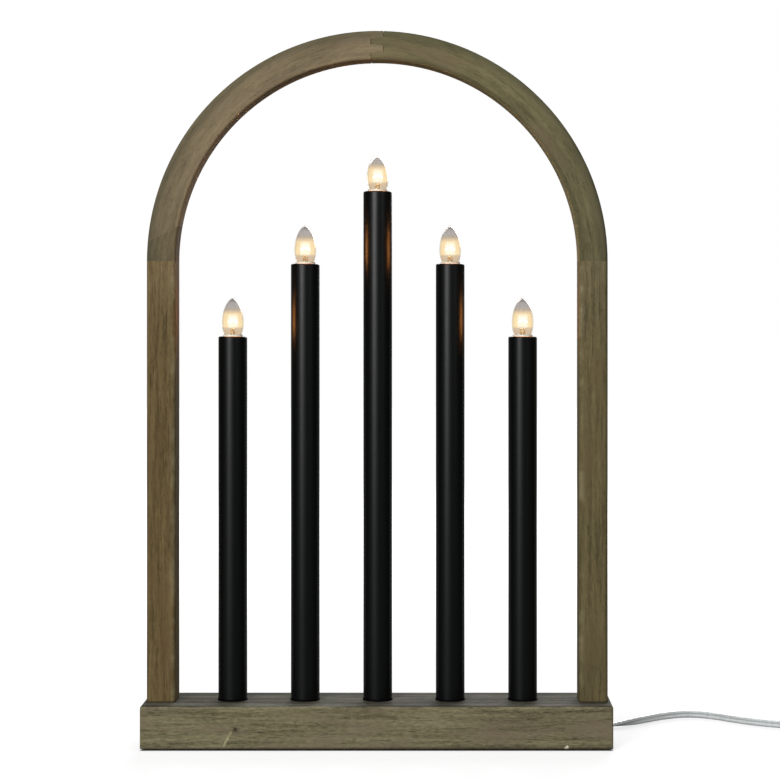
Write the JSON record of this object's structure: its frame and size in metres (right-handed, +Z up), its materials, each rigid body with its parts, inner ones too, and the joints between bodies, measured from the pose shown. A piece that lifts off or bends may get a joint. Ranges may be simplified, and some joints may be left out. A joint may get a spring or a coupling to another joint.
{
  "type": "electric candle arch",
  "caption": "Wooden electric candle arch: half-round arch on two legs over a row of black candle tubes with unscrewing flame bulbs, a wired base and a flat lead with a plug.",
  "frame": {"origin": "on the floor under the middle of the base, at the bottom of its pads", "axes": "+X along the base to the right as seen from the front, +Y to the back, +Z up"},
  "size_m": [0.6154, 0.1273, 0.4946],
  "materials": {
    "base_wood": "grey-brown stained pine, matt",
    "rail_wood": "golden-brown stained pine, matt",
    "dowel_wood": "plain beech",
    "cover_board": "brown hardboard",
    "felt": "dark pressed felt",
    "tube_black": "satin black",
    "holder_white": "cream white",
    "brass": "bright",
    "insulator": "black glass paste and solder",
    "clear_glass": "clear",
    "filament": "glowing filament on a glass stem",
    "steel": "zinc plated",
    "wire_sleeve": "ivory sheath",
    "cord_clear": "see-through grey",
    "plug_white": "moulded white",
    "grip_grey": "moulded grey",
    "nickel": "nickel plated"
  },
  "bodies": {
    "frame": {"base_block": "base_wood", "left_leg": "rail_wood", "right_leg": "rail_wood", "arch_left": "rail_wood", "arch_right": "rail_wood", "arch_left_heel": "rail_wood", "arch_dowels": "dowel_wood", "leg_dowels": "dowel_wood", "leg_screws": "steel", "cover_screws": "steel", "grip_screws": "steel", "base_cover": "cover_board", "felt_pads": "felt", "screw_shells": "brass", "centre_contacts": "brass", "series_wires": "wire_sleeve", "splice_sleeves": "nickel", "inner_cord": "cord_clear", "cord_lead": "cord_clear", "cord_coil": "cord_clear", "cord_grip": "grip_grey", "cord_bush": "plug_white", "plug_body": "plug_white", "plug_pins": "nickel", "candle_foot_1": "tube_black", "candle_tube_1": "tube_black", "lamp_holder_1": "holder_white", "candle_foot_2": "tube_black", "candle_tube_2": "tube_black", "lamp_holder_2": "holder_white", "candle_foot_3": "tube_black", "candle_tube_3": "tube_black", "lamp_holder_3": "holder_white", "candle_foot_4": "tube_black", "candle_tube_4": "tube_black", "lamp_holder_4": "holder_white", "candle_foot_5": "tube_black", "candle_tube_5": "tube_black", "lamp_holder_5": "holder_white"},
    "bulb_1_lift": {"bulb_1_contact": "insulator"},
    "bulb_1_turn": {"bulb_1_glass": "clear_glass", "bulb_1_cap": "brass", "bulb_1_filament": "filament"},
    "bulb_2_lift": {"bulb_2_contact": "insulator"},
    "bulb_2_turn": {"bulb_2_glass": "clear_glass", "bulb_2_cap": "brass", "bulb_2_filament": "filament"},
    "bulb_3_lift": {"bulb_3_contact": "insulator"},
    "bulb_3_turn": {"bulb_3_glass": "clear_glass", "bulb_3_cap": "brass", "bulb_3_filament": "filament"},
    "bulb_4_lift": {"bulb_4_contact": "insulator"},
    "bulb_4_turn": {"bulb_4_glass": "clear_glass", "bulb_4_cap": "brass", "bulb_4_filament": "filament"},
    "bulb_5_lift": {"bulb_5_contact": "insulator"},
    "bulb_5_turn": {"bulb_5_glass": "clear_glass", "bulb_5_cap": "brass", "bulb_5_filament": "filament"}
  },
  "joints": [
    {"name": "bulb_1_rise", "type": "slide", "parent": "frame", "child": "bulb_1_lift", "axis": [0, 0, 1], "range_m": [0, 0.0082]},
    {"name": "bulb_1_unscrew", "type": "hinge", "parent": "bulb_1_lift", "child": "bulb_1_turn", "pos_m": [-0.101, 0, 0.283], "axis": [0, 0, 1], "range_deg": [0, 1620]},
    {"name": "bulb_2_rise", "type": "slide", "parent": "frame", "child": "bulb_2_lift", "axis": [0, 0, 1], "range_m": [0, 0.0082]},
    {"name": "bulb_2_unscrew", "type": "hinge", "parent": "bulb_2_lift", "child": "bulb_2_turn", "pos_m": [-0.0505, 0, 0.3335], "axis": [0, 0, 1], "range_deg": [0, 1620]},
    {"name": "bulb_3_rise", "type": "slide", "parent": "frame", "child": "bulb_3_lift", "axis": [0, 0, 1], "range_m": [0, 0.0082]},
    {"name": "bulb_3_unscrew", "type": "hinge", "parent": "bulb_3_lift", "child": "bulb_3_turn", "pos_m": [0, 0, 0.384], "axis": [0, 0, 1], "range_deg": [0, 1620]},
    {"name": "bulb_4_rise", "type": "slide", "parent": "frame", "child": "bulb_4_lift", "axis": [0, 0, 1], "range_m": [0, 0.0082]},
    {"name": "bulb_4_unscrew", "type": "hinge", "parent": "bulb_4_lift", "child": "bulb_4_turn", "pos_m": [0.0505, 0, 0.3335], "axis": [0, 0, 1], "range_deg": [0, 1620]},
    {"name": "bulb_5_rise", "type": "slide", "parent": "frame", "child": "bulb_5_lift", "axis": [0, 0, 1], "range_m": [0, 0.0082]},
    {"name": "bulb_5_unscrew", "type": "hinge", "parent": "bulb_5_lift", "child": "bulb_5_turn", "pos_m": [0.101, 0, 0.283], "axis": [0, 0, 1], "range_deg": [0, 1620]}
  ],
  "couplings": [
    {"joint": "bulb_1_rise", "follows": "bulb_1_unscrew", "m_per_rad": 0.00028871},
    {"joint": "bulb_2_rise", "follows": "bulb_2_unscrew", "m_per_rad": 0.00028871},
    {"joint": "bulb_3_rise", "follows": "bulb_3_unscrew", "m_per_rad": 0.00028871},
    {"joint": "bulb_4_rise", "follows": "bulb_4_unscrew", "m_per_rad": 0.00028871},
    {"joint": "bulb_5_rise", "follows": "bulb_5_unscrew", "m_per_rad": 0.00028871}
  ]
}
